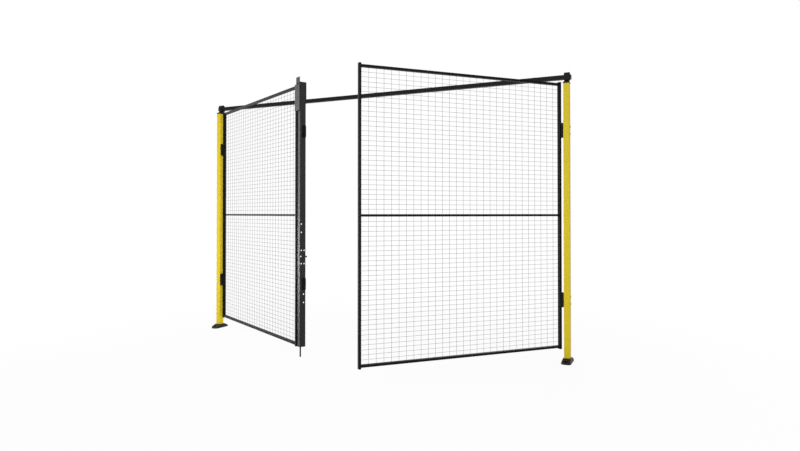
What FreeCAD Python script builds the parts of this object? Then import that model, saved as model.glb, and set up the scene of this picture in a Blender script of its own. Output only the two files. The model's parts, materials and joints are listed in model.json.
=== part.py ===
"""Mesh double door for a machine guard: two framed mesh leaves between two posts.

Millimetres. The origin is the centre of the left foot's underside, +X runs along the
top bar to the right post, +Y points away from the side the leaves open to, +Z is up.
Each leaf is drawn in its own frame, with X measured from its hinge pin to its free
edge, and is then turned about that pin to the angle at which it stands open.
"""
import FreeCAD, Part
import os

import Sketcher

Vector = FreeCAD.Vector
Z_AXIS = Vector(0, 0, 1)

SIZES = {
    # Posts and feet
    "post_span": 3058, "post_width": 40, "post_depth": 50, "post_wall": 2.5,
    "post_corner": 3, "post_top": 1918,
    "foot_width": 64, "foot_length": 164, "foot_corner": 14, "foot_rim": 8,
    "foot_height": 32, "foot_crown": 6, "socket_floor": 6,
    "anchor_spacing": 120, "anchor_hole": 13, "anchor_seat": 24, "anchor_ledge": 10,
    # Top bar and the brackets that carry it
    "bar_size": 30, "bar_wall": 2, "bar_setback": 26, "bar_rise": 31.5, "bar_overhang": 6.5,
    "bracket_lip": 1, "bracket_plate": 9, "bracket_neck": 26, "bracket_rake": 6,
    "bracket_tongue": 12, "saddle_width": 37, "saddle_wall": 6, "saddle_crown": 23,
    "end_cap": 3, "end_plug": 12,
    # Hinges
    "pin_setback": 10.5, "pin_diameter": 8, "pin_clearance": 0.1,
    "pin_head": 3, "pin_head_diameter": 12,
    "knuckle_diameter": 14, "knuckle_height": 32, "knuckle_gap": 0.5,
    "hinge_plate": 2.5, "hinge_depth": 40, "hinge_height": 100, "hinge_low": 378, "hinge_high": 1543,
    # Leaves, which end above the posts and close up to a gap between them
    "leaf_gap": 8, "leaf_bottom": 91, "leaf_rise": 11, "closing_gap": 21,
    "stile_width": 15, "stile_depth": 25, "tube_wall": 1.5,
    "rail_height": 15, "rail_inset": 7.5, "cap_plate": 2, "cap_plug": 10,
    "left_angle": 29, "right_angle": 47.1,
    # Welded mesh
    "wire_size": 2, "wire_setback": 7, "upright_count": 28, "cross_count": 29,
    # Lock profile on the left leaf
    "profile_flange": 45, "profile_depth": 45, "profile_lip": 12, "profile_wall": 2.5,
    "profile_bend": 2.4, "profile_setback": 7.5, "profile_rise": 15, "lock_hole": 10,
    "lock_row_front": 12, "lock_row_back": 34, "lock_low": 671, "lock_high": 764,
    "barrel_row": 9, "barrel_hole": 722, "upper_fixing": 890, "lower_fixing": 400,
    "lower_fixing_row": 30, "fixing_pitch": 58,
    "stop_width": 72, "stop_tongue": 50, "stop_lap": 187, "stop_rise": 47, "plate_wall": 4,
    "rear_width": 22, "rear_drop": 148,
    "buffer_height": 85, "buffer_width": 22, "buffer_proud": 11, "buffer_edge": 3,
    "buffer_round": 8, "buffer_low": 487, "buffer_high": 1554,
    "knob_diameter": 12, "knob_length": 11, "knob_height": 719, "knob_edge": 6.5,
    # Drop bolt
    "bolt_diameter": 10, "bolt_clearance": 0.15, "bolt_bottom": 22, "bolt_length": 470,
    "guide_size": 16, "guide_height": 25, "guide_low": 120, "guide_high": 390,
    "handle_diameter": 8, "handle_reach": 24, "handle_height": 260,
}

doc = FreeCAD.newDocument("MeshDoubleDoor")
sheet = doc.addObject("Spreadsheet::Sheet", "Sizes")
for row, (alias, value) in enumerate(SIZES.items(), start=1):
    sheet.set(f"A{row}", alias)
    sheet.set(f"B{row}", str(value))
    sheet.setAlias(f"B{row}", alias)
doc.recompute()


def size(name):
    """Expression that reads one size from the sheet."""
    return f"Sizes.{name}"


def bind(target, expressions):
    for path, expression in expressions.items():
        target.setExpression(path, expression)


# Places that several pieces share, as expressions of the sizes
POST_FACE = f"({size('post_width')} / 2)"
STAND_OFF = f"({size('knuckle_diameter')} / 2 + {size('knuckle_gap')} + {size('hinge_plate')})"
PIN_X = f"({POST_FACE} + {STAND_OFF})"
PIN_Y = f"({size('pin_setback')} - {size('post_depth')} / 2)"
BAR_Y = f"({size('bar_setback')} + {size('bar_size')} / 2 - {size('post_depth')} / 2)"
BAR_Z = f"({size('post_top')} + {size('bar_rise')} + {size('bar_size')} / 2)"

# The same in a leaf's own frame, measured from its hinge pin, which stands off post and leaf alike
STILE_X = f"({size('leaf_gap')} - {STAND_OFF})"
LEAF_WIDTH = (f"(({size('post_span')} - 2 * ({POST_FACE} + {size('leaf_gap')}) - {size('profile_flange')}"
              f" - {size('closing_gap')}) / 2)")
FREE_X = f"({STILE_X} + {LEAF_WIDTH})"
INNER_X = f"({STILE_X} + {size('stile_width')})"
INNER_WIDTH = f"({LEAF_WIDTH} - 2 * {size('stile_width')})"
LEAF_FRONT = STAND_OFF
LEAF_BACK = f"({LEAF_FRONT} + {size('stile_depth')})"
LEAF_MIDDLE = f"({LEAF_FRONT} + {size('stile_depth')} / 2)"
LEAF_TOP = f"({size('post_top')} + {size('leaf_rise')})"
RAIL_LOW = f"({size('leaf_bottom')} + {size('rail_inset')})"
RAIL_HIGH = f"({LEAF_TOP} - {size('rail_inset')} - {size('rail_height')})"
MESH_LOW = f"({RAIL_LOW} + {size('rail_height')})"
MESH_HEIGHT = f"({RAIL_HIGH} - {MESH_LOW})"
RAIL_MIDDLE = f"({MESH_LOW} + ({MESH_HEIGHT} - {size('rail_height')}) / 2)"
CROSS_STEP = f"(({MESH_HEIGHT} - {size('rail_height')}) / 2 / ({size('cross_count')} + 1))"
CROSS_FRONT = f"({LEAF_FRONT} + {size('wire_setback')})"
UPRIGHT_STEP = f"({INNER_WIDTH} / ({size('upright_count')} + 1))"
UPRIGHT_FRONT = f"({CROSS_FRONT} + {size('wire_size')})"
UPRIGHT_BACK = f"({UPRIGHT_FRONT} + {size('wire_size')})"
UPRIGHT_RUN = f"({UPRIGHT_STEP} * ({size('upright_count')} - 1))"
WEB_X = f"({FREE_X} + {size('profile_flange')})"
PROFILE_FRONT = f"({LEAF_FRONT} + {size('profile_setback')})"
PROFILE_BACK = f"({PROFILE_FRONT} + {size('profile_depth')})"
PROFILE_TOP = f"({LEAF_TOP} + {size('profile_rise')})"
BOLT_X = f"({WEB_X} - {size('profile_wall')} - {size('guide_size')} / 2)"
BOLT_Y = f"({PROFILE_FRONT} + {size('profile_wall')} + {size('guide_size')} / 2)"


class Frame:
    """A place to put pieces: a point, a turn about the vertical, and a side.

    side is -1 where X is counted towards the left, as in the right leaf.
    """

    def __init__(self, x, y, turn, side=1):
        self.x, self.y, self.turn, self.side = x, y, turn, side


LEFT_POST = Frame("0", "0", "0")
RIGHT_POST = Frame(size("post_span"), "0", "0", side=-1)
LEFT_LEAF = Frame(PIN_X, PIN_Y, f"(-1 * {size('left_angle')})")
RIGHT_LEAF = Frame(f"({size('post_span')} - {PIN_X})", PIN_Y, size("right_angle"), side=-1)

nodes = []


def place(piece, frame, x="0", y="0", z="0", length="0"):
    """Put a piece at x, y, z of a frame; length is how far it reaches along the frame's X."""
    start = x if frame.side > 0 else f"(-1 * ({x} + {length}))"
    piece.Placement = FreeCAD.Placement(Vector(), FreeCAD.Rotation(Z_AXIS, 0))
    bind(piece, {
        "Placement.Base.x": f"{frame.x} + {start} * cos({frame.turn}) - {y} * sin({frame.turn})",
        "Placement.Base.y": f"{frame.y} + {start} * sin({frame.turn}) + {y} * cos({frame.turn})",
        "Placement.Base.z": z,
        "Placement.Rotation.Angle": frame.turn,
    })


def node(label, piece):
    """Name a finished sub-part; its label names its file."""
    piece.Label = label
    nodes.append(piece)
    return piece


def new_body(name):
    body = doc.addObject("PartDesign::Body", name)
    body.AllowCompound = True
    return body


def new_sketch(body, role, offset=None):
    """Sketch on one of the body's own planes, moved along the plane's normal by offset."""
    sketch = body.newObject("Sketcher::SketchObject", f"{body.Name}_sketch")
    plane = [item for item in body.Origin.OriginFeatures if item.Role == role][0]
    sketch.AttachmentSupport = [(plane, "")]
    sketch.MapMode = "FlatFace"
    if offset:
        sketch.setExpression("AttachmentOffset.Base.z", offset)
    return sketch


def constrain(sketch, kind, *places, value=None):
    """Add a constraint; a value is an expression of the sizes."""
    if value is None:
        return sketch.addConstraint(Sketcher.Constraint(kind, *places))
    index = sketch.addConstraint(Sketcher.Constraint(kind, *places, 1.0))
    name = f"{kind.lower()}_{index}"
    sketch.renameConstraint(index, name)
    sketch.setExpression(f"Constraints.{name}", value)
    return index


def closed_lines(sketch, points):
    """Closed run of lines through rough points; constraints then give the true sizes."""
    first = sketch.GeometryCount
    count = len(points)
    for index in range(count):
        ends = Vector(*points[index]), Vector(*points[(index + 1) % count])
        sketch.addGeometry(Part.LineSegment(*ends), False)
    for index in range(count):
        following = first + (index + 1) % count
        constrain(sketch, "Coincident", first + index, 2, following, 1)
    return first


def rectangle(sketch, width, depth):
    """Rectangle centred on the sketch's origin."""
    first = closed_lines(sketch, [(-1, -1), (1, -1), (1, 1), (-1, 1)])
    for side, kind in enumerate(("Horizontal", "Vertical", "Horizontal", "Vertical")):
        constrain(sketch, kind, first + side)
    constrain(sketch, "Symmetric", first, 1, first + 1, 2, -1, 1)
    constrain(sketch, "DistanceX", first, 1, first, 2, value=width)
    constrain(sketch, "DistanceY", first + 1, 1, first + 1, 2, value=depth)


def cut_corner_rectangle(sketch, width, depth, corner):
    """Rectangle centred on the sketch's origin, with its four corners cut off."""
    points = [(-2, -4), (2, -4), (3, -3), (3, 3), (2, 4), (-2, 4), (-3, 3), (-3, -3)]
    first = closed_lines(sketch, points)
    for side in range(4):
        constrain(sketch, "Symmetric", first + side, 1, first + side + 4, 1, -1, 1)
    constrain(sketch, "Horizontal", first)
    constrain(sketch, "Vertical", first + 2)
    constrain(sketch, "DistanceX", first + 6, 1, first + 2, 1, value=width)
    constrain(sketch, "DistanceY", first, 1, first + 4, 1, value=depth)
    constrain(sketch, "DistanceX", first, 1, first, 2, value=f"{width} - 2 * {corner}")
    constrain(sketch, "DistanceY", first + 2, 1, first + 2, 2, value=f"{depth} - 2 * {corner}")
    constrain(sketch, "DistanceX", first, 2, first + 2, 1, value=corner)
    constrain(sketch, "DistanceY", first, 2, first + 2, 1, value=corner)


def circle(sketch, x, y, diameter):
    """Circle with its centre at x, y of the sketch."""
    index = sketch.addGeometry(Part.Circle(Vector(1, 1, 0), Z_AXIS, 1), False)
    constrain(sketch, "DistanceX", -1, 1, index, 3, value=x)
    constrain(sketch, "DistanceY", -1, 1, index, 3, value=y)
    constrain(sketch, "Diameter", index, value=diameter)


def pad(body, sketch, length):
    feature = body.newObject("PartDesign::Pad", f"{body.Name}_pad")
    feature.Profile = sketch
    feature.setExpression("Length", length)
    body.Tip = feature
    doc.recompute()
    return feature


def pocket(body, sketch, length, reverse=False):
    """Cut a sketch's outline out of a body and make sure that something was cut."""
    before = body.Shape.Volume
    feature = body.newObject("PartDesign::Pocket", f"{body.Name}_pocket")
    feature.Profile = sketch
    feature.Reversed = reverse
    feature.setExpression("Length", length)
    body.Tip = feature
    doc.recompute()
    if body.Shape.Volume >= before:
        raise RuntimeError(f"{body.Label}: the pocket cuts nothing")
    return feature


def pattern(body, original, sketch, axis, length, count):
    feature = body.newObject("PartDesign::LinearPattern", f"{body.Name}_pattern")
    feature.Originals = [original]
    feature.Direction = (sketch, [axis])
    bind(feature, {"Length": length, "Occurrences": count})
    body.Tip = feature
    doc.recompute()
    return feature


def upright_edges(shape, corners):
    """Names of the vertical edges of a shape that stand at the given corners."""
    names = []
    for index, edge in enumerate(shape.Edges, start=1):
        ends = [vertex.Point for vertex in edge.Vertexes]
        upright = len(ends) == 2 and (ends[0] - ends[1]).cross(Z_AXIS).Length < 1e-6
        if upright and any((Vector(*corner) - ends[0]).cross(Z_AXIS).Length < 1e-6 for corner in corners):
            names.append(f"Edge{index}")
    return names


def fillet(body, base, edges, radius):
    feature = body.newObject("PartDesign::Fillet", f"{body.Name}_fillet")
    feature.Base = (base, edges)
    feature.setExpression("Radius", radius)
    body.Tip = feature
    doc.recompute()
    return feature


def tube(name, plane, width, depth, wall, length):
    """Straight rectangular tube about the body's origin, padded out of one of its planes."""
    body = new_body(name)
    sketch = new_sketch(body, plane)
    rectangle(sketch, width, depth)
    rectangle(sketch, f"{width} - 2 * {wall}", f"{depth} - 2 * {wall}")
    pad(body, sketch, length)
    return body


def block(name, length, width, height):
    piece = doc.addObject("Part::Box", name)
    bind(piece, {"Length": length, "Width": width, "Height": height})
    return piece


def centred_block(name, width, depth, height, z="0"):
    """Block that stands at height z about the vertical through the origin."""
    return at(block(name, width, depth, height), f"-1 * {width} / 2", f"-1 * {depth} / 2", z)


def wedge(name, base, top, height, shift="0"):
    """Block that tapers from a base to a top rectangle, each a width and a depth about the vertical.

    shift moves the top rectangle along Y.
    """
    piece = doc.addObject("Part::Wedge", name)
    bind(piece, {
        "Xmin": f"-1 * {base[0]} / 2", "Xmax": f"{base[0]} / 2",
        "X2min": f"-1 * {top[0]} / 2", "X2max": f"{top[0]} / 2",
        "Ymin": "0", "Ymax": height,
        "Zmin": f"-1 * {base[1]} / 2", "Zmax": f"{base[1]} / 2",
        "Z2min": f"-1 * {top[1]} / 2 - {shift}", "Z2max": f"{top[1]} / 2 - {shift}",
    })
    return aim(piece, Vector(1, 0, 0), 90)


def rod(name, diameter, length):
    piece = doc.addObject("Part::Cylinder", name)
    bind(piece, {"Radius": f"{diameter} / 2", "Height": length})
    return piece


def at(piece, x="0", y="0", z="0"):
    """Put a simple piece at a point of the frame that it is drawn in."""
    bind(piece, {"Placement.Base.x": x, "Placement.Base.y": y, "Placement.Base.z": z})
    return piece


def aim(piece, axis, angle):
    piece.Placement = FreeCAD.Placement(Vector(), FreeCAD.Rotation(axis, angle))
    return piece


def fuse(name, pieces):
    result = doc.addObject("Part::MultiFuse", name)
    result.Shapes = pieces
    return result


def cut(name, base, tool):
    result = doc.addObject("Part::Cut", name)
    result.Base = base
    result.Tool = tool
    return result


def common(name, base, tool):
    result = doc.addObject("Part::Common", name)
    result.Base = base
    result.Tool = tool
    return result


def group(name, pieces):
    """Like pieces that don't touch, kept in one node."""
    result = doc.addObject("Part::Compound", name)
    result.Links = pieces
    return result


def make_post(name, frame):
    body = new_body(name)
    sketch = new_sketch(body, "XY_Plane")
    width, depth, wall = size("post_width"), size("post_depth"), size("post_wall")
    rectangle(sketch, width, depth)
    rectangle(sketch, f"{width} - 2 * {wall}", f"{depth} - 2 * {wall}")
    shaft = pad(body, sketch, f"{size('post_top')} - {size('socket_floor')}")
    half_width, half_depth = sheet.post_width / 2, sheet.post_depth / 2
    corners = [(x * half_width, y * half_depth, 0) for x in (-1, 1) for y in (-1, 1)]
    fillet(body, shaft, upright_edges(shaft.Shape, corners), size("post_corner"))
    place(body, frame, z=size("socket_floor"))
    node(name, body)


def make_foot(name, frame):
    """Cast foot: a rim, a sloping crown, a socket for the post and two anchor holes."""
    base = size("foot_width"), size("foot_length")
    outline = new_body(f"{name}_outline")
    sketch = new_sketch(outline, "XY_Plane")
    cut_corner_rectangle(sketch, *base, size("foot_corner"))
    pad(outline, sketch, size("foot_height"))
    crown = f"2 * {size('foot_crown')}"
    top = f"({size('post_width')} + {crown})", f"({size('post_depth')} + {crown})"
    slope = wedge(f"{name}_slope", base, top, f"({size('foot_height')} - {size('foot_rim')})")
    rim = centred_block(f"{name}_rim", *base, size("foot_rim"))
    blank = common(f"{name}_blank", outline, fuse(f"{name}_cone", [rim, at(slope, z=size("foot_rim"))]))
    tools = [centred_block(f"{name}_socket", size("post_width"), size("post_depth"), size("foot_height"),
                           size("socket_floor"))]
    for end, direction in (("front", -1), ("back", 1)):
        y = f"{direction} * {size('anchor_spacing')} / 2"
        tools.append(at(rod(f"{name}_{end}_hole", size("anchor_hole"), size("foot_height")), y=y))
        seat = rod(f"{name}_{end}_seat", size("anchor_seat"), size("foot_height"))
        tools.append(at(seat, y=y, z=size("anchor_ledge")))
    foot = cut(name, blank, fuse(f"{name}_tools", tools))
    place(foot, frame)
    node(name, foot)


def make_bracket(name, frame):
    """Bar bracket: tongue in the post, cap plate, raked neck, and a saddle that holds the bar."""
    wall, lip = f"2 * {size('post_wall')}", f"2 * {size('bracket_lip')}"
    inside = f"({size('post_width')} - {wall})", f"({size('post_depth')} - {wall})"
    outline = f"({size('post_width')} + {lip})", f"({size('post_depth')} + {lip})"
    neck = size("bracket_neck")
    root = f"({neck} + 2 * {size('bracket_rake')})"
    saddle = new_body(f"{name}_saddle")
    sketch = new_sketch(saddle, "YZ_Plane", f"-1 * {size('saddle_width')} / 2")
    saddle_outline(sketch)
    pad(saddle, sketch, size("saddle_width"))
    tongue = centred_block(f"{name}_tongue", *inside, size("bracket_tongue"),
                           f"-1 * {size('bracket_tongue')}")
    plate = centred_block(f"{name}_plate", *outline, size("bracket_plate"))
    rise = f"({size('bar_rise')} - {size('saddle_wall')} - {size('bracket_plate')})"
    stem = at(wedge(f"{name}_neck", (root, root), (neck, neck), rise, BAR_Y), z=size("bracket_plate"))
    bracket = fuse(name, [tongue, plate, stem, saddle])
    place(bracket, frame, z=size("post_top"))
    node(name, bracket)


def saddle_outline(sketch):
    """Saddle section in Y and Z: flat floor, upright cheeks, arched crown, square eye."""
    half = f"({size('bar_size')} / 2 + {size('saddle_wall')})"
    shoulder = f"({size('bar_rise')} + {size('bar_size')})"
    lines = [(-2, 0), (2, 0), (2, 4), (-2, 4)]
    points = [Vector(*point) for point in lines]
    for start, end in ((3, 0), (0, 1), (1, 2)):
        sketch.addGeometry(Part.LineSegment(points[start], points[end]), False)
    sketch.addGeometry(Part.Arc(points[2], Vector(0, 5), points[3]), False)
    constrain(sketch, "Coincident", 0, 2, 1, 1)
    constrain(sketch, "Coincident", 1, 2, 2, 1)
    constrain(sketch, "Coincident", 2, 2, 3, 1)
    constrain(sketch, "Coincident", 3, 2, 0, 1)
    constrain(sketch, "Vertical", 0)
    constrain(sketch, "Horizontal", 1)
    constrain(sketch, "Vertical", 2)
    constrain(sketch, "DistanceX", -1, 1, 0, 2, value=f"{BAR_Y} - {half}")
    constrain(sketch, "DistanceX", 1, 1, 1, 2, value=f"2 * {half}")
    constrain(sketch, "DistanceY", -1, 1, 1, 1, value=f"{size('bar_rise')} - {size('saddle_wall')}")
    constrain(sketch, "DistanceY", -1, 1, 0, 1, value=shoulder)
    constrain(sketch, "DistanceY", -1, 1, 2, 2, value=shoulder)
    crown = f"({size('saddle_crown')})"
    radius = f"({half} * {half} + {crown} * {crown}) / (2 * {crown})"
    constrain(sketch, "Radius", 3, value=radius)
    first = closed_lines(sketch, [(-1, 1), (1, 1), (1, 3), (-1, 3)])
    for side, kind in enumerate(("Horizontal", "Vertical", "Horizontal", "Vertical")):
        constrain(sketch, kind, first + side)
    constrain(sketch, "DistanceX", -1, 1, first, 1, value=f"{BAR_Y} - {size('bar_size')} / 2")
    constrain(sketch, "DistanceY", -1, 1, first, 1, value=size("bar_rise"))
    constrain(sketch, "DistanceX", first, 1, first, 2, value=size("bar_size"))
    constrain(sketch, "DistanceY", first + 1, 1, first + 1, 2, value=size("bar_size"))


def make_crossbar():
    overhang = f"({size('saddle_width')} / 2 + {size('bar_overhang')})"
    length = f"({size('post_span')} + 2 * {overhang})"
    bar = size("bar_size")
    body = tube("crossbar", "YZ_Plane", bar, bar, size("bar_wall"), length)
    place(body, LEFT_POST, f"-1 * {overhang}", BAR_Y, BAR_Z)
    node("crossbar", body)
    plug = f"({bar} - 2 * {size('bar_wall')})"
    caps = []
    for end, post in (("left", LEFT_POST), ("right", RIGHT_POST)):
        plate = frame_block(f"{end}_cap_plate", post, f"(-1 * {overhang} - {size('end_cap')})",
                            f"-1 * {bar} / 2", f"-1 * {bar} / 2", size("end_cap"), bar, bar)
        stub = frame_block(f"{end}_cap_plug", post, f"(-1 * {overhang})",
                           f"-1 * {plug} / 2", f"-1 * {plug} / 2", size("end_plug"), plug, plug)
        cap = fuse(f"{end}_bar_cap", [plate, stub])
        at(cap, post.x)
        caps.append(cap)
    plugs = group("crossbar_end_caps", caps)
    place(plugs, LEFT_POST, "0", BAR_Y, BAR_Z)
    node("crossbar_end_caps", plugs)


def frame_block(name, frame, x, y, z, length, width, height):
    """Block drawn in a frame's own coordinates, on the frame's side."""
    start = x if frame.side > 0 else f"-1 * ({x} + {length})"
    return at(block(name, length, width, height), start, y, z)


def hinge_half(name, frame, low, on_leaf):
    """One hinge half about the pin: a plate on its carrier, webs, and bored knuckles."""
    radius = f"({size('knuckle_diameter')} / 2)"
    plate, height, knuckle = size("hinge_plate"), size("hinge_height"), size("knuckle_height")
    if on_leaf:
        gap = size("knuckle_gap")
        web_depth = f"({LEAF_FRONT} - {plate})"
        flat = STILE_X, web_depth, size("stile_width"), plate
        web = STILE_X, "0", radius, web_depth
        knuckles = [(f"{low} + {knuckle} + {gap}", f"({height} - 2 * ({knuckle} + {gap}))")]
    else:
        flat = f"(-1 * {STAND_OFF})", f"(-1 * {radius})", plate, size("hinge_depth")
        web = f"(-1 * {STAND_OFF})", f"(-1 * {radius} / 2)", STAND_OFF, radius
        knuckles = [(low, knuckle), (f"{low} + {height} - {knuckle}", knuckle)]
    x, y, length, width = flat
    pieces = [frame_block(f"{name}_plate", frame, x, y, low, length, width, height)]
    x, y, length, width = web
    for index, (bottom, tall) in enumerate(knuckles):
        pieces.append(frame_block(f"{name}_web_{index}", frame, x, y, bottom, length, width, tall))
        pieces.append(at(rod(f"{name}_knuckle_{index}", size("knuckle_diameter"), tall), z=bottom))
    bore = rod(f"{name}_bore", f"({size('pin_diameter')} + 2 * {size('pin_clearance')})", height)
    return cut(name, fuse(f"{name}_blank", pieces), at(bore, z=low))


def make_hinges(side, pin_frame, leaf_frame):
    levels = {"low": size("hinge_low"), "high": size("hinge_high")}
    for kind, frame, on_leaf in (("post", pin_frame, False), ("leaf", leaf_frame, True)):
        name = f"{side}_{kind}_hinges"
        halves = [hinge_half(f"{name}_{level}", frame, low, on_leaf) for level, low in levels.items()]
        pair = group(name, halves)
        place(pair, frame)
        node(name, pair)
    pins = []
    for level, low in levels.items():
        shaft = at(rod(f"{side}_pin_{level}_shaft", size("pin_diameter"), size("hinge_height")), z=low)
        head = rod(f"{side}_pin_{level}_head", size("pin_head_diameter"), size("pin_head"))
        at(head, z=f"{low} + {size('hinge_height')}")
        pins.append(fuse(f"{side}_pin_{level}", [shaft, head]))
    pair = group(f"{side}_hinge_pins", pins)
    place(pair, pin_frame)
    node(f"{side}_hinge_pins", pair)


def make_leaf_frame(side, frame):
    width, depth, wall = size("stile_width"), size("stile_depth"), size("tube_wall")
    for kind, x in (("hinge", STILE_X), ("free", f"({FREE_X} - {width})")):
        name = f"{side}_{kind}_stile"
        body = tube(name, "XY_Plane", width, depth, wall, f"({LEAF_TOP} - {size('leaf_bottom')})")
        place(body, frame, f"({x} + {width} / 2)", LEAF_MIDDLE, size("leaf_bottom"))
        node(name, body)
    rail = size("rail_height")
    for kind, front, bottom in (("top", LEAF_FRONT, RAIL_HIGH), ("mid", UPRIGHT_BACK, RAIL_MIDDLE),
                                ("bottom", LEAF_FRONT, RAIL_LOW)):
        name = f"{side}_{kind}_rail"
        body = tube(name, "YZ_Plane", f"({LEAF_BACK} - {front})", rail, wall, INNER_WIDTH)
        place(body, frame, INNER_X, f"(({LEAF_BACK} + {front}) / 2)", f"{bottom} + {rail} / 2",
              INNER_WIDTH)
        node(name, body)


def make_stile_caps(side, frame):
    """Plastic plugs in the four open stile ends."""
    width, depth, wall = size("stile_width"), size("stile_depth"), size("tube_wall")
    plate, plug = size("cap_plate"), size("cap_plug")
    caps = []
    for stile, x in (("hinge", STILE_X), ("free", f"({FREE_X} - {width})")):
        for end, plate_z, plug_z in (("foot", f"{size('leaf_bottom')} - {plate}", size("leaf_bottom")),
                                     ("head", LEAF_TOP, f"{LEAF_TOP} - {plug}")):
            name = f"{side}_{stile}_{end}_cap"
            top = frame_block(f"{name}_plate", frame, x, LEAF_FRONT, plate_z, width, depth, plate)
            stub = frame_block(f"{name}_plug", frame, f"({x} + {wall})", f"{LEAF_FRONT} + {wall}", plug_z,
                               f"({width} - 2 * {wall})", f"{depth} - 2 * {wall}", plug)
            caps.append(fuse(name, [top, stub]))
    plugs = group(f"{side}_stile_caps", caps)
    place(plugs, frame)
    node(f"{side}_stile_caps", plugs)


def make_mesh(side, frame):
    """Welded mesh: cross wires in front of upright wires, face to face where they cross."""
    wire = size("wire_size")
    name = f"{side}_upright_wires"
    body = new_body(name)
    sketch = new_sketch(body, "XY_Plane")
    rectangle(sketch, wire, wire)
    first = pad(body, sketch, MESH_HEIGHT)
    pattern(body, first, sketch, "H_Axis", UPRIGHT_RUN, size("upright_count"))
    place(body, frame, f"({INNER_X} + ({INNER_WIDTH} - {UPRIGHT_RUN}) / 2)",
          f"({UPRIGHT_FRONT} + {wire} / 2)", MESH_LOW, UPRIGHT_RUN)
    node(name, body)
    name = f"{side}_cross_wires"
    body = new_body(name)
    for lift in ("0", f"{RAIL_MIDDLE} + {size('rail_height')} - {MESH_LOW}"):
        sketch = new_sketch(body, "YZ_Plane")
        sketch.setExpression("AttachmentOffset.Base.y", lift)
        rectangle(sketch, wire, wire)
        first = pad(body, sketch, INNER_WIDTH)
        run = f"{CROSS_STEP} * ({size('cross_count')} - 1)"
        pattern(body, first, sketch, "V_Axis", run, size("cross_count"))
    place(body, frame, INNER_X, f"({CROSS_FRONT} + {wire} / 2)", f"{MESH_LOW} + {CROSS_STEP}", INNER_WIDTH)
    node(name, body)


def make_lock_profile(frame):
    """Bent sheet channel beside the free stile, open towards the leaf, with lock holes in its web."""
    body = new_body("lock_profile")
    flange, depth, lip, wall = [size(f"profile_{name}") for name in ("flange", "depth", "lip", "wall")]
    section = new_sketch(body, "XY_Plane")
    points = [(0, 0), (9, 0), (9, 9), (5, 9), (5, 8), (8, 8), (8, 1), (0, 1)]
    closed_lines(section, points)
    for line in range(len(points)):
        constrain(section, "Vertical" if line % 2 else "Horizontal", line)
    constrain(section, "Coincident", 0, 1, -1, 1)
    constrain(section, "DistanceX", 0, 1, 0, 2, value=flange)
    constrain(section, "DistanceY", 1, 1, 1, 2, value=depth)
    constrain(section, "DistanceX", 2, 2, 2, 1, value=lip)
    constrain(section, "DistanceY", 3, 2, 3, 1, value=wall)
    constrain(section, "DistanceX", 5, 1, 1, 2, value=wall)
    constrain(section, "DistanceY", 7, 2, 7, 1, value=wall)
    sheet_metal = pad(body, section, f"{PROFILE_TOP} - {size('leaf_bottom')}")
    bends = [(sheet.profile_flange, y, 0) for y in (0, sheet.profile_depth)]
    fillet(body, sheet_metal, upright_edges(sheet_metal.Shape, bends), size("profile_bend"))
    holes = new_sketch(body, "YZ_Plane", flange)
    front, back = size("lock_row_front"), size("lock_row_back")
    places = [(row, level) for row in (front, back) for level in (size("lock_low"), size("lock_high"))]
    places.append((size("barrel_row"), size("barrel_hole")))
    for row, level in ((front, size("upper_fixing")), (size("lower_fixing_row"), size("lower_fixing"))):
        places += [(row, level), (row, f"{level} + {size('fixing_pitch')}")]
    for row, level in places:
        circle(holes, row, f"{level} - {size('leaf_bottom')}", size("lock_hole"))
    pocket(body, holes, f"2 * {wall}")
    place(body, frame, FREE_X, PROFILE_FRONT, size("leaf_bottom"))
    node("lock_profile", body)


def make_stop_plates(frame):
    """Front plate that stops against the top bar, and a plate on the profile's back lip."""
    wall, lap = size("plate_wall"), size("stop_lap")
    x, y, z = f"({FREE_X} - {size('stile_width')})", f"({LEAF_FRONT} - {wall})", f"({LEAF_TOP} - {lap})"
    base = at(block("stop_base", size("stop_width"), wall, lap), x, y, z)
    tongue = block("stop_tongue", size("stop_tongue"), wall, f"({lap} + {size('stop_rise')})")
    at(tongue, f"{x} + {size('stop_width')} - {size('stop_tongue')}", y, z)
    front = fuse("stop_plate", [base, tongue])
    place(front, frame)
    node("stop_plate", front)
    rear = block("rear_plate", size("rear_width"), wall, size("rear_drop"))
    place(rear, frame, f"({WEB_X} - {size('rear_width')})", PROFILE_BACK,
          f"{PROFILE_TOP} - {size('rear_drop')}")
    node("rear_plate", rear)


def make_buffers(frame):
    """Rubber blocks on the profile's web that meet the other leaf's stile."""
    width, height = size("buffer_width"), size("buffer_height")
    blocks = []
    for level in ("low", "high"):
        body = new_body(f"buffer_{level}")
        face = new_sketch(body, "YZ_Plane")
        rectangle(face, width, height)
        blank = pad(body, face, size("buffer_proud"))
        rim = [f"Edge{index}" for index, edge in enumerate(blank.Shape.Edges, start=1)
               if abs(edge.CenterOfMass.x - sheet.buffer_proud / 2) < 1e-6]
        fillet(body, blank, rim, size("buffer_round"))
        at(body, WEB_X, f"{PROFILE_BACK} - {size('buffer_edge')} - {width} / 2",
           f"{size('buffer_' + level)} + {height} / 2")
        blocks.append(body)
    pair = group("buffers", blocks)
    place(pair, frame)
    node("buffers", pair)


def make_knob(frame):
    """Turned catch knob on the profile's back lip."""
    length, diameter = size("knob_length"), size("knob_diameter")
    neck = aim(rod("knob_neck", f"({diameter} / 2)", length), Vector(1, 0, 0), -90)
    head = aim(rod("knob_head", diameter, f"{length} / 2"), Vector(1, 0, 0), -90)
    x = f"{WEB_X} - {size('knob_edge')}"
    at(neck, x, PROFILE_BACK, size("knob_height"))
    at(head, x, f"{PROFILE_BACK} + {length} / 2", size("knob_height"))
    knob = fuse("catch_knob", [neck, head])
    place(knob, frame)
    node("catch_knob", knob)


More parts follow.
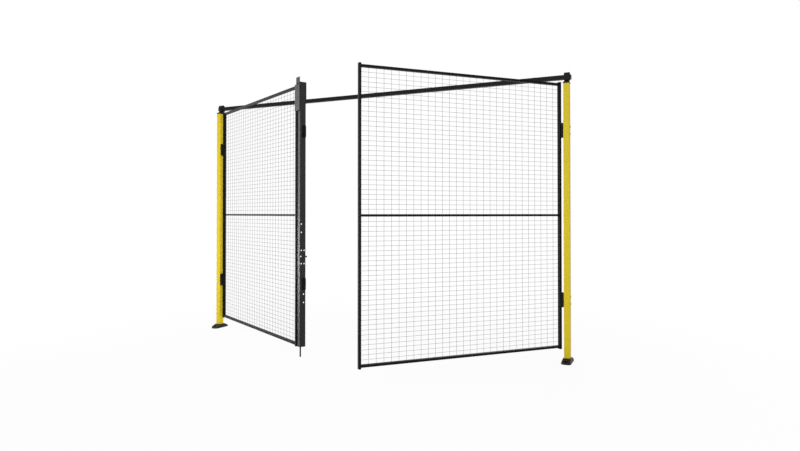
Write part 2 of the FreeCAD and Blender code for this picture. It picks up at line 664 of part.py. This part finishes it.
def make_drop_bolt(frame):
    """Round bolt with a side handle, sliding in two bored guides in the profile's corner."""
    guide = size("guide_size")
    guides = []
    for level in ("low", "high"):
        bottom = size(f"guide_{level}")
        blank = block(f"guide_{level}_block", guide, guide, size("guide_height"))
        at(blank, f"{BOLT_X} - {guide} / 2", f"{BOLT_Y} - {guide} / 2", bottom)
        bore_diameter = f"({size('bolt_diameter')} + 2 * {size('bolt_clearance')})"
        bore = at(rod(f"guide_{level}_bore", bore_diameter, size("guide_height")), BOLT_X, BOLT_Y, bottom)
        guides.append(cut(f"guide_{level}", blank, bore))
    pair = group("bolt_guides", guides)
    place(pair, frame)
    node("bolt_guides", pair)
    shaft = rod("bolt_shaft", size("bolt_diameter"), size("bolt_length"))
    at(shaft, BOLT_X, BOLT_Y, size("bolt_bottom"))
    handle = aim(rod("bolt_handle", size("handle_diameter"), size("handle_reach")), Vector(1, 0, 0), -90)
    at(handle, BOLT_X, BOLT_Y, size("handle_height"))
    bolt = fuse("drop_bolt", [shaft, handle])
    place(bolt, frame)
    node("drop_bolt", bolt)


LEFT_PIN = Frame(PIN_X, PIN_Y, "0")
RIGHT_PIN = Frame(f"({size('post_span')} - {PIN_X})", PIN_Y, "0", side=-1)

for side, post, pin, leaf in (("left", LEFT_POST, LEFT_PIN, LEFT_LEAF),
                              ("right", RIGHT_POST, RIGHT_PIN, RIGHT_LEAF)):
    make_post(f"{side}_post", post)
    make_foot(f"{side}_foot", post)
    make_bracket(f"{side}_bar_bracket", post)
    make_hinges(side, pin, leaf)
    make_leaf_frame(side, leaf)
    make_stile_caps(side, leaf)
    make_mesh(side, leaf)
make_crossbar()
make_lock_profile(LEFT_LEAF)
make_stop_plates(LEFT_LEAF)
make_buffers(LEFT_LEAF)
make_knob(LEFT_LEAF)
make_drop_bolt(LEFT_LEAF)
doc.recompute()

for item in doc.Objects:
    if {"Invalid", "Error"} & set(item.State):
        raise RuntimeError(f"{item.Label} failed: {item.State}")
for piece in nodes:
    if piece.Shape.isNull() or not piece.Shape.isValid() or not piece.Shape.Solids:
        raise RuntimeError(f"{piece.Label} has no valid solid")

os.makedirs("parts", exist_ok=True)
for piece in nodes:
    piece.Shape.exportStep(os.path.join("parts", f"{piece.Label}.step"))
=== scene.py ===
"""Looks for the mesh double door: camera, light, materials, round wires and fixings.

Lengths are in metres, angles in degrees and powers in watts.
"""
import json
import math

import bmesh
import bpy
from mathutils import Matrix, Vector


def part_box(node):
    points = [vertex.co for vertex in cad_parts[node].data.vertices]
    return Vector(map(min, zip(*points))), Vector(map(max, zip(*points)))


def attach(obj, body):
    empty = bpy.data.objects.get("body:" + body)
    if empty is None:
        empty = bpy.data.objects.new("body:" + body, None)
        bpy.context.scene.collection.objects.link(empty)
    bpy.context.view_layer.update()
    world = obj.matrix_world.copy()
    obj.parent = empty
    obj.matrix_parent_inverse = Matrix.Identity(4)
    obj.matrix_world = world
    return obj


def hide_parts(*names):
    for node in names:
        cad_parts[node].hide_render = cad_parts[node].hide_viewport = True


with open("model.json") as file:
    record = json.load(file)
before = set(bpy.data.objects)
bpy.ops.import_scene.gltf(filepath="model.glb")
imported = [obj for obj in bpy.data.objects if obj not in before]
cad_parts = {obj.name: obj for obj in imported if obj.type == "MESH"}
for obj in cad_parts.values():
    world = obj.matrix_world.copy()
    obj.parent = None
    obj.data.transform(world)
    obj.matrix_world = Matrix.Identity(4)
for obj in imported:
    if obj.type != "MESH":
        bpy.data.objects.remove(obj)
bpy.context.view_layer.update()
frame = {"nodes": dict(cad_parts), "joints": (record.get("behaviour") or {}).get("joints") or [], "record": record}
NODES = frame["nodes"]
JOINTS = {joint["name"]: joint for joint in frame["joints"]}
SAME_CORNER = 1e-6  # corners of a CAD mesh that are closer than this are one
FRONT = (0, -1, 0)
BACK = (0, 1, 0)

# Camera, fitted to the photograph's straight edges
CAMERA_AT = (3.780, -4.264, 1.0226)
CAMERA_YAW = 25.03
CAMERA_PITCH = 0.68
LENS_MM = 27.26
SENSOR_MM = 36.0
SHIFT_Y = -0.0242  # share of the picture's width
VIEW_DEPTH = 200.0

# Studio
ROOM_LIGHT = 0.62  # strength of the room as a light, where the room that is seen has 1
FLOOR_REACH = 30.0
FLOOR_ROUGHNESS = 0.9
FLOOR_SPECULAR = 0.1
FLOOR_WHITE = 0.91  # share of plain white near the door; the rest of it takes the shadow
FADE_MIDDLE = (1.54, -0.6, 0.0)
FADE_START = 1.6
FADE_END = 3.6  # from here on the floor is plain white
OPEN_BEAM = 180.0  # full angle of a beam that isn't narrowed

# Round wires of the mesh
WIRE_SHARE = 0.76  # thickness of a round wire as a share of the square bar's
WIRE_SIDES = 10

# Turned shapes: a ring is a radius, a height and a number of flats
TURNED_SIDES = 24
ROUND = 0
HEXAGON = 6

# Bolts in the posts
BOLT_ACROSS = 0.013  # across the flats
BOLT_SHARES = (0.25, 0.75)  # places along a hinge's height
BOLT_FORWARD = 0.004  # in front of the post's middle
WASHER_RADIUS = BOLT_ACROSS * 0.62
WASHER_BORE = 0.002
WASHER_EDGE = 0.0011
WASHER_TOP = 0.0014
BOLT_SHOULDER = 0.0052
BOLT_TOP = 0.0062
WASHER = ((WASHER_RADIUS, 0, ROUND), (WASHER_RADIUS, WASHER_EDGE, ROUND),
          (WASHER_RADIUS * 0.95, WASHER_TOP, ROUND), (WASHER_BORE, WASHER_TOP, ROUND))
BOLT_CORNER = BOLT_ACROSS / math.sqrt(3)
BOLT_HEAD = ((BOLT_CORNER, WASHER_TOP, HEXAGON), (BOLT_CORNER, BOLT_SHOULDER, HEXAGON),
             (BOLT_ACROSS * 0.5, BOLT_TOP, ROUND), (BOLT_ACROSS * 0.3, BOLT_TOP, ROUND))

# Screws: radius and height of the head
BRACKET_SCREW = (0.006, 0.0032)
HINGE_SCREW = (0.0032, 0.0018)
TONGUE_SCREW = (0.0065, 0.0035)
REAR_SCREW = (0.0055, 0.003)
HINGE_SCREW_SHARES = (0.14, 0.86)  # places along a hinge's height
HINGE_SCREW_INSET = 0.0042  # from the stile's inner edge
HINGE_PLATE = 0.0025  # thickness
TONGUE_SCREW_INSET = 0.028  # from the stop plate's free edge
TONGUE_SCREW_DROP = 0.046  # below the stop plate's top
REAR_SCREW_INSET = 0.024  # from the rear plate's ends

# Domed screw head with a socket, in shares of its radius and height
DOME = ((1.0, 0.0, ROUND), (1.0, 0.25, ROUND), (0.9, 0.66, ROUND), (0.68, 0.92, ROUND), (0.56, 1.0, ROUND),
        (0.5, 1.0, HEXAGON), (0.5, 0.35, HEXAGON), (0.1, 0.3, ROUND))

# Weld beads
BEAD_RADIUS = 0.0017
BEAD_INSET = 0.001  # from the rail's faces
BEAD_STEP = 0.0016  # run from ring to ring
BEAD_MEAN = 0.82  # mean share of the radius
BEAD_RIPPLES = ((0.18, 2.2), (0.05, 0.9))  # share of the radius, and radians from ring to ring
BEAD_TIP = 0.6  # share that is left of both end rings


# Materials

def new_material(name):
    """New material with its node tree, its shader and the place on the object."""
    material = bpy.data.materials.new(name)
    material.use_nodes = True
    tree = material.node_tree
    shader = tree.nodes["Principled BSDF"]
    place = tree.nodes.new("ShaderNodeTexCoord")
    return material, tree, shader, place.outputs["Object"]


def grey(value):
    return (value, value, value, 1.0)


def noise(tree, place, scale, detail=2.0, roughness=0.5):
    node = tree.nodes.new("ShaderNodeTexNoise")
    node.inputs["Scale"].default_value = scale
    node.inputs["Detail"].default_value = detail
    node.inputs["Roughness"].default_value = roughness
    tree.links.new(place, node.inputs["Vector"])
    return node.outputs["Fac"]


def vary_colour(tree, shader, value, dark, light, start=0.3, end=0.7):
    """Base colour that goes from dark to light while the value goes from start to end."""
    node = tree.nodes.new("ShaderNodeValToRGB")
    stops = ((start, dark), (end, light))
    for element, (position, colour) in zip(node.color_ramp.elements, stops):
        element.position = position
        element.color = colour
    tree.links.new(value, node.inputs["Fac"])
    tree.links.new(node.outputs["Color"], shader.inputs["Base Color"])


def vary_roughness(tree, shader, value, low, high):
    """Roughness that goes from low to high while the value goes from 0 to 1."""
    node = tree.nodes.new("ShaderNodeMapRange")
    node.inputs["To Min"].default_value = low
    node.inputs["To Max"].default_value = high
    tree.links.new(value, node.inputs["Value"])
    tree.links.new(node.outputs["Result"], shader.inputs["Roughness"])


def bump(tree, shader, height, strength, distance):
    node = tree.nodes.new("ShaderNodeBump")
    node.inputs["Strength"].default_value = strength
    node.inputs["Distance"].default_value = distance
    tree.links.new(height, node.inputs["Height"])
    tree.links.new(node.outputs["Normal"], shader.inputs["Normal"])


def coat(name, dark, light, roughness, specular):
    """Powder coat: slow drift of colour, fine orange peel, uneven gloss."""
    material, tree, shader, place = new_material(name)
    drift = noise(tree, place, scale=5.5, detail=4.0, roughness=0.6)
    vary_colour(tree, shader, drift, dark, light)
    gloss = noise(tree, place, scale=38.0, detail=3.0)
    vary_roughness(tree, shader, gloss, low=roughness - 0.06, high=roughness + 0.08)
    shader.inputs["Specular IOR Level"].default_value = specular
    peel = noise(tree, place, scale=420.0)
    bump(tree, shader, peel, strength=0.25, distance=0.0004)
    return material


def cast_finish():
    """Cast foot under black coat: grainier than the sheet parts."""
    material, tree, shader, place = new_material("cast_black")
    grain = noise(tree, place, scale=260.0, detail=5.0, roughness=0.65)
    vary_colour(tree, shader, grain, dark=grey(0.006), light=grey(0.011), start=0.35)
    vary_roughness(tree, shader, grain, low=0.4, high=0.58)
    shader.inputs["Specular IOR Level"].default_value = 0.2
    bump(tree, shader, grain, strength=0.5, distance=0.0006)
    return material


def blackened_steel():
    """Blackened steel with fine turning lines round the piece."""
    material, tree, shader, place = new_material("blackened_steel")
    cloud = noise(tree, place, scale=90.0, detail=4.0)
    vary_colour(tree, shader, cloud, dark=(0.022, 0.022, 0.024, 1), light=(0.034, 0.034, 0.036, 1))
    vary_roughness(tree, shader, cloud, low=0.28, high=0.46)
    shader.inputs["Metallic"].default_value = 1.0
    rings = tree.nodes.new("ShaderNodeTexWave")
    rings.bands_direction = "Z"
    rings.inputs["Scale"].default_value = 600.0
    tree.links.new(place, rings.inputs["Vector"])
    bump(tree, shader, rings.outputs["Fac"], strength=0.15, distance=0.0002)
    return material


def moulded(name, shade, roughness, specular, grain_scale):
    """Moulded plastic or rubber with a spark-eroded grain."""
    material, tree, shader, place = new_material(name)
    drift = noise(tree, place, scale=14.0, detail=3.0)
    vary_colour(tree, shader, drift, dark=grey(shade * 0.8), light=grey(shade * 1.2))
    vary_roughness(tree, shader, drift, low=roughness - 0.05, high=roughness + 0.07)
    shader.inputs["Specular IOR Level"].default_value = specular
    grain = tree.nodes.new("ShaderNodeTexVoronoi")
    grain.inputs["Scale"].default_value = grain_scale
    tree.links.new(place, grain.inputs["Vector"])
    bump(tree, shader, grain.outputs["Distance"], strength=0.3, distance=0.0003)
    return material


YELLOW = coat("yellow_powder_coat", dark=(0.66, 0.505, 0.006, 1), light=(0.70, 0.54, 0.008, 1),
              roughness=0.44, specular=0.22)
BLACK = coat("black_powder_coat", grey(0.0055), grey(0.0075), roughness=0.47, specular=0.12)
TUBE = coat("black_tube_coat", grey(0.0034), grey(0.0046), roughness=0.47, specular=0.07)
SHEET = coat("black_sheet_coat", grey(0.0055), grey(0.0075), roughness=0.45, specular=0.26)
WIRE = coat("wire_coat", grey(0.0055), grey(0.0075), roughness=0.5, specular=0.15)
CAST = cast_finish()
STEEL = blackened_steel()
PLASTIC = moulded("black_plastic_grain", shade=0.014, roughness=0.5, specular=0.35, grain_scale=900.0)
RUBBER = moulded("rubber_grain", shade=0.003, roughness=0.78, specular=0.08, grain_scale=1400.0)

BY_SLOT = {"yellow_coat": YELLOW, "black_coat": BLACK, "pin_steel": STEEL, "black_plastic": PLASTIC,
           "rubber": RUBBER}
BY_ENDING = {"_foot": CAST, "lock_profile": SHEET, "_plate": SHEET, "_stile": TUBE, "_rail": TUBE,
             "drop_bolt": TUBE}


def dress_nodes():
    """Give each CAD node the finish that the end of its name calls for, or else that of its slot."""
    for entry in frame["record"]["subparts"]:
        name = entry["node"]
        finish = BY_SLOT[entry["material_slot"]]
        for ending, special in BY_ENDING.items():
            if name.endswith(ending):
                finish = special
        for slot in NODES[name].material_slots:
            slot.material = finish


# Places

def corners(points):
    """Lowest and highest corners of the box round some points."""
    low = Vector([min(point[axis] for point in points) for axis in range(3)])
    high = Vector([max(point[axis] for point in points) for axis in range(3)])
    return low, high


class Leaf:
    """A leaf's own frame: X from its hinge pin to its free edge, Y to the back, Z up."""

    def __init__(self, side):
        joint = JOINTS[f"{side}_leaf_hinge"]
        self.side = 1 if side == "left" else -1
        self.body = f"{side}_leaf"
        turn = math.radians(joint["range_deg"][0]) * self.side
        pin = Vector(joint["pos_m"])
        self.matrix = Matrix.Translation((pin.x, pin.y, 0)) @ Matrix.Rotation(turn, 4, "Z")
        self.back = self.matrix.inverted()

    def point(self, x, y, z):
        return self.matrix @ Vector((self.side * x, y, z))

    def direction(self, x, y, z):
        return self.matrix.to_3x3() @ Vector((self.side * x, y, z))

    def box(self, node):
        """Lowest and highest corners of a node in the leaf's own frame."""
        points = [self.back @ vertex.co for vertex in NODES[node].data.vertices]
        for point in points:
            point.x *= self.side
        return corners(points)


LEAVES = {"left": Leaf("left"), "right": Leaf("right")}


def islands(node):
    """Vertex places of each separate solid in a CAD node."""
    work = bmesh.new()
    work.from_mesh(NODES[node].data)
    bmesh.ops.remove_doubles(work, verts=work.verts, dist=SAME_CORNER)
    waiting = set(work.verts)
    groups = []
    while waiting:
        todo = [waiting.pop()]
        group = []
        while todo:
            vertex = todo.pop()
            group.append(vertex.co.copy())
            for edge in vertex.link_edges:
                other = edge.other_vert(vertex)
                if other in waiting:
                    waiting.remove(other)
                    todo.append(other)
        groups.append(group)
    work.free()
    return groups


def hinge_levels(side):
    """Bottom and top of each hinge on a post, from the solids of its node."""
    levels = []
    for group in islands(f"{side}_post_hinges"):
        low, high = corners(group)
        levels.append((low.z, high.z))
    return sorted(levels)


# Pieces

def add_piece(name, mesh_data, body, material):
    """Make a mesh into a piece that rides on a body."""
    mesh = bpy.data.meshes.new(name)
    mesh_data.to_mesh(mesh)
    mesh_data.free()
    mesh.materials.append(material)
    piece = bpy.data.objects.new(name, mesh)
    bpy.context.scene.collection.objects.link(piece)
    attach(piece, body)
    return piece


def add_wire(work, start, end, radius):
    """Round wire between two points, closed at both ends and smooth along its side."""
    along = end - start
    turn = along.to_track_quat("Z", "Y").to_matrix().to_4x4()
    matrix = Matrix.Translation((start + end) / 2) @ turn
    made = bmesh.ops.create_cone(work, cap_ends=True, segments=WIRE_SIDES, radius1=radius, radius2=radius,
                                 depth=along.length, matrix=matrix)
    for face in {face for vertex in made["verts"] for face in vertex.link_faces}:
        face.smooth = len(face.verts) == 4


def round_wires(side):
    """Round wires in place of the square bars that stand for the mesh in the CAD part.

    They are a little thinner than the bars, and still touch where the two layers cross.
    """
    leaf = LEAVES[side]
    layers = [leaf.box(f"{side}_{kind}_wires") for kind in ("upright", "cross")]
    contact = (min(low.y for low, _ in layers) + max(high.y for _, high in layers)) / 2
    for kind, axis in (("upright", 2), ("cross", 0)):
        node = f"{side}_{kind}_wires"
        work = bmesh.new()
        for group in islands(node):
            low, high = corners([leaf.back @ point for point in group])
            middle = (low + high) / 2
            middle.y = contact + (middle.y - contact) * WIRE_SHARE
            radius = (high.y - low.y) / 2 * WIRE_SHARE
            start, end = middle.copy(), middle.copy()
            start[axis], end[axis] = low[axis], high[axis]
            add_wire(work, leaf.matrix @ start, leaf.matrix @ end, radius)
        piece = add_piece(f"{side}_{kind}_round_wires", work, leaf.body, WIRE)
        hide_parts(node)


def facing(at, normal):
    """Frame at a point, with its Z along the normal."""
    return Matrix.Translation(at) @ Vector(normal).to_track_quat("Z", "Y").to_matrix().to_4x4()


def add_rings(work, matrix, rings, smooth=False):
    """Skin of revolution through rings, closed at both ends.

    A ring with no flats is round. Rings with flats have their corners on the stated radius.
    """
    loops = []
    for radius, height, flats in rings:
        loop = []
        for index in range(TURNED_SIDES):
            angle = 2 * math.pi * index / TURNED_SIDES
            reach = radius
            if flats:
                step = 2 * math.pi / flats
                reach *= math.cos(step / 2) / math.cos(angle % step - step / 2)
            place = Vector((reach * math.cos(angle), reach * math.sin(angle), height))
            loop.append(work.verts.new(matrix @ place))
        loops.append(loop)
    for lower, upper in zip(loops, loops[1:]):
        for index in range(TURNED_SIDES):
            following = (index + 1) % TURNED_SIDES
            face = work.faces.new((lower[index], lower[following], upper[following], upper[index]))
            face.smooth = smooth
    work.faces.new(list(reversed(loops[0])))
    work.faces.new(loops[-1])


def add_hex_bolt(work, at, normal):
    """Hexagon head with a chamfered crown, on a washer."""
    for rings in (WASHER, BOLT_HEAD):
        add_rings(work, facing(at, normal), rings)


def add_button_screw(work, at, normal, head):
    """Domed head with a hexagon socket sunk into it."""
    radius, height = head
    rings = [(radius * wide, height * tall, flats) for wide, tall, flats in DOME]
    add_rings(work, facing(at, normal), rings)


def add_bead(work, start, end):
    """Weld bead: a low ridge whose width ripples along its run."""
    along = end - start
    count = int(along.length / BEAD_STEP)
    rings = []
    for index in range(count + 1):
        share = BEAD_MEAN + sum(height * math.sin(index * turn) for height, turn in BEAD_RIPPLES)
        if index in (0, count):
            share *= BEAD_TIP
        rings.append((BEAD_RADIUS * share, along.length * index / count, ROUND))
    add_rings(work, facing(start, along), rings, smooth=True)


def frame_fixings():
    """Coated bolts through the posts at the hinges, and clamp screws in the bar brackets."""
    bolts, screws = bmesh.new(), bmesh.new()
    bar_low, bar_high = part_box("crossbar")
    for side, outward in (("left", -1), ("right", 1)):
        low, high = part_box(f"{side}_post")
        outer = low.x if outward < 0 else high.x
        depth = (low.y + high.y) / 2 - BOLT_FORWARD
        for bottom, top in hinge_levels(side):
            for share in BOLT_SHARES:
                height = bottom + share * (top - bottom)
                add_hex_bolt(bolts, (outer, depth, height), (outward, 0, 0))
        low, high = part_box(f"{side}_bar_bracket")
        saddle_front = bar_low.y - (high.y - bar_high.y)
        at = ((low.x + high.x) / 2, saddle_front, (bar_low.z + bar_high.z) / 2)
        add_button_screw(screws, at, FRONT, BRACKET_SCREW)
    add_piece("post_bolts", bolts, "frame", YELLOW)
    add_piece("bracket_screws", screws, "frame", BLACK)


def leaf_fixings(side):
    """Blackened screws on the leaf's hinge plates."""
    leaf = LEAVES[side]
    work = bmesh.new()
    low, high = leaf.box(f"{side}_hinge_stile")
    for bottom, top in hinge_levels(side):
        for share in HINGE_SCREW_SHARES:
            height = bottom + share * (top - bottom)
            at = leaf.point(high.x - HINGE_SCREW_INSET, low.y - HINGE_PLATE, height)
            add_button_screw(work, at, leaf.direction(*FRONT), HINGE_SCREW)
    add_piece(f"{side}_leaf_fixings", work, leaf.body, STEEL)


def plate_screws():
    """Coated screws: one in the stop plate's tongue, two in the rear plate."""
    leaf = LEAVES["left"]
    work = bmesh.new()
    low, high = leaf.box("stop_plate")
    at = leaf.point(high.x - TONGUE_SCREW_INSET, low.y, high.z - TONGUE_SCREW_DROP)
    add_button_screw(work, at, leaf.direction(*FRONT), TONGUE_SCREW)
    low, high = leaf.box("rear_plate")
    middle = (low.x + high.x) / 2
    for height in (low.z + REAR_SCREW_INSET, high.z - REAR_SCREW_INSET):
        at = leaf.point(middle, high.y, height)
        add_button_screw(work, at, leaf.direction(*BACK), REAR_SCREW)
    add_piece("plate_screws", work, leaf.body, BLACK)


def leaf_welds(side):
    """Weld beads where the rails meet the stiles, above and below each rail."""
    leaf = LEAVES[side]
    work = bmesh.new()
    for rail in ("top", "mid", "bottom"):
        low, high = leaf.box(f"{side}_{rail}_rail")
        for x in (low.x, high.x):
            for z in (low.z, high.z):
                start = leaf.point(x, low.y + BEAD_INSET, z)
                end = leaf.point(x, high.y - BEAD_INSET, z)
                add_bead(work, start, end)
    add_piece(f"{side}_leaf_welds", work, leaf.body, BLACK)


# Stage

def set_camera():
    data = bpy.data.cameras.new("camera")
    data.sensor_fit = "HORIZONTAL"
    data.sensor_width = SENSOR_MM
    data.lens = LENS_MM
    data.shift_y = SHIFT_Y
    data.clip_end = VIEW_DEPTH
    camera = bpy.data.objects.new("camera", data)
    camera.location = CAMERA_AT
    camera.rotation_euler = (math.radians(90 + CAMERA_PITCH), 0, math.radians(CAMERA_YAW))
    bpy.context.scene.collection.objects.link(camera)
    bpy.context.scene.camera = camera


def room_rays(tree):
    """1 for the rays that see the room as plain white: camera, glossy and transmission rays."""
    path = tree.nodes.new("ShaderNodeLightPath")
    total = path.outputs["Is Camera Ray"]
    for kind in ("Is Glossy Ray", "Is Transmission Ray"):
        either = tree.nodes.new("ShaderNodeMath")
        either.operation = "MAXIMUM"
        tree.links.new(total, either.inputs[0])
        tree.links.new(path.outputs[kind], either.inputs[1])
        total = either.outputs["Value"]
    return total


def set_world():
    """Even white room: what is seen of it is white, what lights the part is softer."""
    world = bpy.data.worlds.new("studio")
    world.use_nodes = True
    bpy.context.scene.world = world
    tree = world.node_tree
    background = tree.nodes["Background"]
    level = tree.nodes.new("ShaderNodeMapRange")
    level.inputs["To Min"].default_value = ROOM_LIGHT
    level.inputs["To Max"].default_value = 1.0
    tree.links.new(room_rays(tree), level.inputs["Value"])
    background.inputs["Color"].default_value = grey(1.0)
    tree.links.new(level.outputs["Result"], background.inputs["Strength"])


def floor_finish():
    """Pale floor that takes a soft shadow near the door and is plain white further out."""
    material, tree, shader, place = new_material("studio_floor")
    vary_colour(tree, shader, noise(tree, place, scale=0.8), dark=grey(0.93), light=grey(0.95))
    shader.inputs["Roughness"].default_value = FLOOR_ROUGHNESS
    shader.inputs["Specular IOR Level"].default_value = FLOOR_SPECULAR
    away = tree.nodes.new("ShaderNodeVectorMath")
    away.operation = "DISTANCE"
    away.inputs[1].default_value = FADE_MIDDLE
    tree.links.new(place, away.inputs[0])
    fade = tree.nodes.new("ShaderNodeMapRange")
    fade.inputs["From Min"].default_value = FADE_START
    fade.inputs["From Max"].default_value = FADE_END
    fade.inputs["To Min"].default_value = FLOOR_WHITE
    tree.links.new(away.outputs["Value"], fade.inputs["Value"])
    seen = tree.nodes.new("ShaderNodeMath")
    seen.operation = "MULTIPLY"
    tree.links.new(room_rays(tree), seen.inputs[0])
    tree.links.new(fade.outputs["Result"], seen.inputs[1])
    white = tree.nodes.new("ShaderNodeEmission")
    mix = tree.nodes.new("ShaderNodeMixShader")
    tree.links.new(seen.outputs["Value"], mix.inputs["Fac"])
    tree.links.new(shader.outputs["BSDF"], mix.inputs[1])
    tree.links.new(white.outputs["Emission"], mix.inputs[2])
    tree.links.new(mix.outputs["Shader"], tree.nodes["Material Output"].inputs["Surface"])
    return material


def set_floor():
    mesh = bpy.data.meshes.new("floor")
    outline = [(x * FLOOR_REACH, y * FLOOR_REACH, 0) for x, y in ((-1, -1), (1, -1), (1, 1), (-1, 1))]
    mesh.from_pydata(outline, [], [(0, 1, 2, 3)])
    mesh.materials.append(floor_finish())
    floor = bpy.data.objects.new("floor", mesh)
    bpy.context.scene.collection.objects.link(floor)


def soft_light(name, at, towards, size, power, spread=OPEN_BEAM):
    """Soft box that lights the part and isn't seen itself; spread is the full angle of its beam."""
    data = bpy.data.lights.new(name, "AREA")
    data.shape = "RECTANGLE"
    data.size, data.size_y = size
    data.energy = power
    data.spread = math.radians(spread)
    light = bpy.data.objects.new(name, data)
    light.location = at
    light.visible_camera = False
    light.rotation_euler = (Vector(towards) - Vector(at)).to_track_quat("-Z", "Y").to_euler()
    bpy.context.scene.collection.objects.link(light)


def set_lamps():
    """Key light from the left, and weaker boxes that open up the sides it leaves dark."""
    soft_light("left_key", at=(-4.6, -0.6, 1.6), towards=(1.3, -0.6, 1.0), size=(2.4, 3.0), power=100.0)
    soft_light("front_left", at=(-2.2, -4.4, 2.0), towards=(0.0, 0.0, 1.0), size=(2.0, 2.0), power=7.0)
    soft_light("low_left", at=(-3.4, -1.0, 0.4), towards=(1.33, -0.75, 0.45), size=(1.6, 0.5),
               power=3.0, spread=30.0)
    soft_light("side_fill", at=(4.9, -4.9, 1.6), towards=(0.0, 0.0, 1.0), size=(1.6, 1.6),
               power=14.0, spread=40.0)
    soft_light("front_fill", at=(3.2, -5.6, 2.2), towards=(3.2, 0.0, 1.0), size=(2.0, 2.0),
               power=11.0, spread=60.0)
    soft_light("back_fill", at=(1.5, 6.0, 2.6), towards=(1.5, 0.0, 1.0), size=(3.0, 2.0), power=60.0)


def set_stage():
    bpy.context.scene.view_settings.view_transform = "Standard"
    set_world()
    set_floor()
    set_camera()
    set_lamps()


dress_nodes()
frame_fixings()
plate_screws()
for leaf_side in LEAVES:
    round_wires(leaf_side)
    leaf_fixings(leaf_side)
    leaf_welds(leaf_side)
set_stage()
